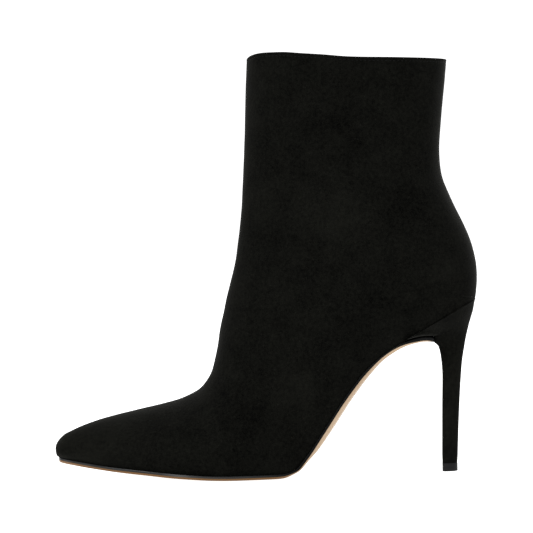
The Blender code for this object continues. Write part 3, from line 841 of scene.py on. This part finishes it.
def makeSole(v):
    shape = creased(castFrom("outsole"), v)
    top = {f for f in shape.faces if f.normal.z > v["topNormal"]}
    black = {f for f in shape.faces if {g for e in f.edges for g in e.link_faces} & top}
    bevel = {g for f in black for e in f.edges for g in e.link_faces} - black
    for face in shape.faces:  # the top and the upright side are black, the bevel and bottom tan
        face.material_index = 0 if face in black else 2 if face in bevel else 1
    for corner in shape.verts:
        if corner.co.x > v["tailFrom"]:  # the tail closes on the heel's breast
            corner.co.x = max(corner.co.x, v["tailEnd"])
        around = set(corner.link_faces)
        if around & black and around & bevel:
            share = float(waistShare(corner.co.x, v))
            corner.co.z += v["bevelRise"] * (1 - share) - v["waistEdge"] * share
    thing = smoothed(toObject(shape, "soleLeather"), v["levels"])
    points, normals = getPoints(thing.data)
    start, fade = v["underSpan"]
    low = ease((-normals[:, 2] - start) / fade)  # the bottom and the bevel, not the side
    deep = waistShare(points[:, 0], v) * low * v["waistDepth"]
    setPoints(thing.data, points + normals * deep[:, None])
    for finish in (edgeFinish, tanFinish, bevelFinish):
        thing.data.materials.append(finish)
    return thing


soleLeather = makeSole(soleValues)
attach(soleLeather, "root")
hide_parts("outsole")
print("sole made:", len(soleLeather.data.polygons), "faces")


sockValues = {"levels": 2, "crease": 0.55, "creaseAngle": 40}


def makeSock(v):
    shape = creased(castFrom("insole"), v)
    thing = smoothed(toObject(shape, "sockLining"), v["levels"])
    thing.data.materials.append(sockFinish)
    return thing


sockLining = makeSock(sockValues)
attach(sockLining, "root")
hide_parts("insole")


heelValues = {
    "levels": 3,
    "crease": 0.85,
    "creaseAngle": 40,
    "footNear": 0.1 * mm,  # corners this near the lowest are the heel's foot
    "reach": 0.26 * mm,  # the cover closes on the top piece
    "nap": 0.18 * mm,
    "napFade": 4 * mm,  # above the foot
}


def makeHeel(v):
    shape = creased(castFrom("heel"), v)
    foot = min(p.co.z for p in shape.verts)
    for corner in shape.verts:
        if corner.co.z < foot + v["footNear"]:
            corner.co.z -= v["reach"]
    thing = smoothed(toObject(shape, "heelCover"), v["levels"])
    points, normals = getPoints(thing.data)
    upright = ease(1.4 - 2 * np.abs(normals[:, 2]))  # the sides, not the seat or the foot
    side = upright * ease((points[:, 2] - foot) / v["napFade"])
    setPoints(thing.data, points + normals * (side * v["nap"])[:, None])
    thing.data.materials.append(heelFinish)
    return thing


heelCover = makeHeel(heelValues)
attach(heelCover, "root")
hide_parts("heel")


liftValues = {"rounding": 0.35 * mm, "segments": 3, "angle": 50}


def makeLift(v):
    thing = toObject(castFrom("top_piece"), "heelLift")
    bevelled(thing, v["rounding"], v["segments"], v["angle"])
    thing.data.materials.append(rubberFinish)
    return thing


heelLift = makeLift(liftValues)
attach(heelLift, "root")
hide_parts("top_piece")
print("sock, heel and lift made")


# Stage: a white floor and soft light

def area(name, place, target, size, power):
    light = bpy.data.lights.new(name, "AREA")
    light.shape = "RECTANGLE"
    light.size, light.size_y = size
    light.energy = power
    thing = inScene(name, light)
    thing.location = place
    thing.rotation_euler = (Vector(target) - Vector(place)).to_track_quat("-Z", "Y").to_euler()


stageValues = {
    "floorHalf": 6.0,
    "floorGrey": 0.45,
    "floorRoughness": 0.9,
    "floorSpecular": 0.1,
    "floorGlow": 0.95,
    "skyStrength": 1.25,
    "lights": (  # name, place, target, size and watts
        ("keyLight", (-1.2, -1.4, 1.7), (0, 0, 0.1), (1.2, 1.2), 22),
        ("topLight", (0.3, 0.2, 2.0), (0, 0, 0.1), (1.6, 1.6), 20),
        ("backLight", (0.9, 1.6, 1.2), (0, 0, 0.12), (1.4, 1.0), 16),
        ("stripLight", (-1.15, -1.45, 0.40), (-0.05, 0, 0.0), (0.14, 0.7), 3.0),
    ),
}


def makeStage(v):
    half = v["floorHalf"]
    corners = [(-half, -half, 0), (half, -half, 0), (half, half, 0), (-half, half, 0)]
    mesh = bpy.data.meshes.new("floor")
    mesh.from_pydata(corners, [], [(0, 1, 2, 3)])
    floor = inScene("floor", mesh)
    white = Finish("whiteFloor", {"Base Color": grey(v["floorGrey"]),
                                  "Roughness": v["floorRoughness"],
                                  "Specular IOR Level": v["floorSpecular"],
                                  "Emission Color": (1, 1, 1, 1),
                                  "Emission Strength": v["floorGlow"]})
    mesh.materials.append(white.material)
    world = bpy.data.worlds.new("studio")
    world.use_nodes = True
    sky = world.node_tree.nodes["Background"]
    sky.inputs["Color"].default_value = (1, 1, 1, 1)
    sky.inputs["Strength"].default_value = v["skyStrength"]
    bpy.context.scene.world = world
    for row in v["lights"]:
        area(*row)
    bpy.context.scene.view_settings.view_transform = "Standard"
    bpy.context.scene.view_settings.look = "None"


makeStage(stageValues)


# Camera, fitted to the photograph
cameraValues = {
    "target": (2.15 * mm, 0, 122 * mm),
    "turn": 2.5,  # degrees round the boot from straight outside
    "distance": 1.6,
    "height": 165 * mm,
    "lens": 184.9,  # mm
    "sensor": 36,  # mm
    "roll": 1.5,  # degrees
}


def makeCamera(v):
    target = Vector(v["target"])
    turn, roll = math.radians(v["turn"]), math.radians(v["roll"])
    aside, back = v["distance"] * math.sin(turn), v["distance"] * math.cos(turn)
    place = Vector((target.x + aside, -back, v["height"]))
    ahead = (target - place).normalized()
    right = ahead.cross(Vector((0, 0, 1))).normalized()
    up = right.cross(ahead)
    rightRolled = right * math.cos(roll) - up * math.sin(roll)
    upRolled = right * math.sin(roll) + up * math.cos(roll)
    camera = inScene("camera", bpy.data.cameras.new("camera"))
    camera.data.lens = v["lens"]
    camera.data.sensor_width = v["sensor"]
    camera.data.clip_start, camera.data.clip_end = 0.01, 100
    matrix = Matrix((rightRolled, upRolled, -ahead)).transposed().to_4x4()
    matrix.translation = place
    camera.matrix_world = matrix
    bpy.context.scene.camera = camera


makeCamera(cameraValues)
print("stage and camera set")
